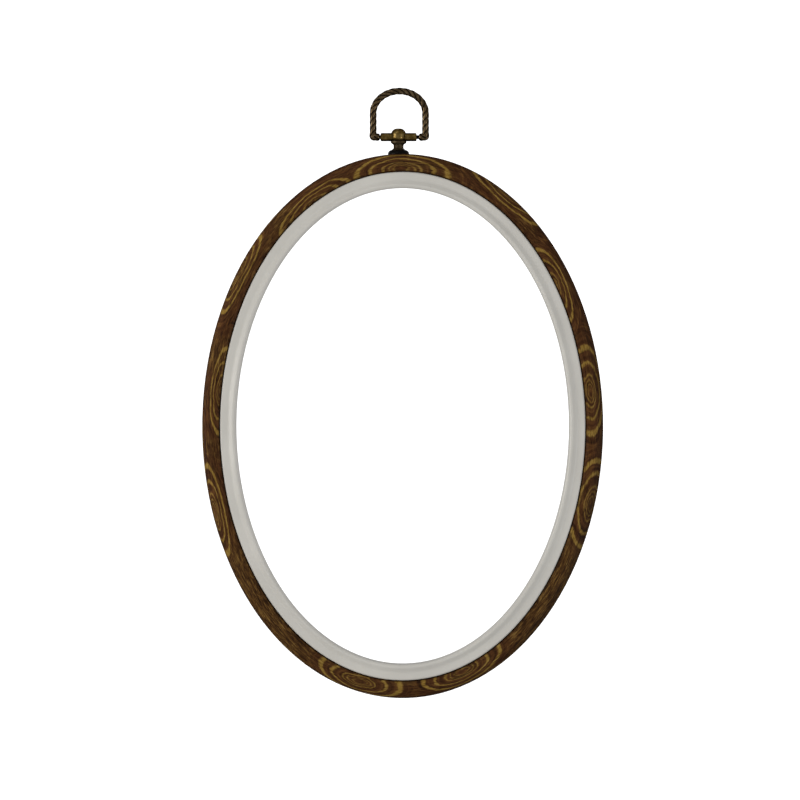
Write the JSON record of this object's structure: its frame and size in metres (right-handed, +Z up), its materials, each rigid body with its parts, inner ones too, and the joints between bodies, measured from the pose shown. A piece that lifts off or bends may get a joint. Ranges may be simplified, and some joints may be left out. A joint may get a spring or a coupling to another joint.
{
  "type": "embroidery hoop",
  "caption": "Oval embroidery hoop: rigid white inner hoop, flexible woodgrain outer hoop that grips the cloth, and a swivelling twisted brass bail to hang it by.",
  "frame": {"origin": "the point inside the top of the bail where a nail carries the hoop", "axes": "+Z up along the oval's long axis, +X right across the oval, +Y towards the wall, so the front faces -Y"},
  "size_m": [0.1202, 0.01, 0.183],
  "materials": {
    "inner_hoop": "smooth moulded white plastic with a soft sheen",
    "outer_hoop": "flexible vinyl printed with a knotted woodgrain",
    "antique_brass": "darkened antique brass, rubbed bright on its high spots",
    "base_cup": "satin black",
    "screw_steel": "zinc-plated steel"
  },
  "bodies": {
    "bail": {"bail": "antique_brass"},
    "hanger": {"hanger_post": "antique_brass", "cross_tube": "antique_brass", "hanger_screw": "screw_steel"},
    "outer_hoop": {"outer_hoop": "outer_hoop", "base_cup": "base_cup", "screw_washer": "screw_steel"},
    "inner_hoop": {"inner_hoop": "inner_hoop"}
  },
  "joints": [
    {"name": "bail_hinge", "type": "hinge", "parent": "bail", "child": "hanger", "pos_m": [0, 0, -0.01275], "axis": [1, 0, 0], "range_deg": [-110, 110]},
    {"name": "hanger_swivel", "type": "hinge", "parent": "hanger", "child": "outer_hoop", "pos_m": [-0.00024, 0, -0.01784], "axis": [0, 0, 1], "continuous": true},
    {"name": "inner_hoop_release", "type": "slide", "parent": "outer_hoop", "child": "inner_hoop", "axis": [0, -1, 0], "range_m": [0, 0.012]}
  ]
}
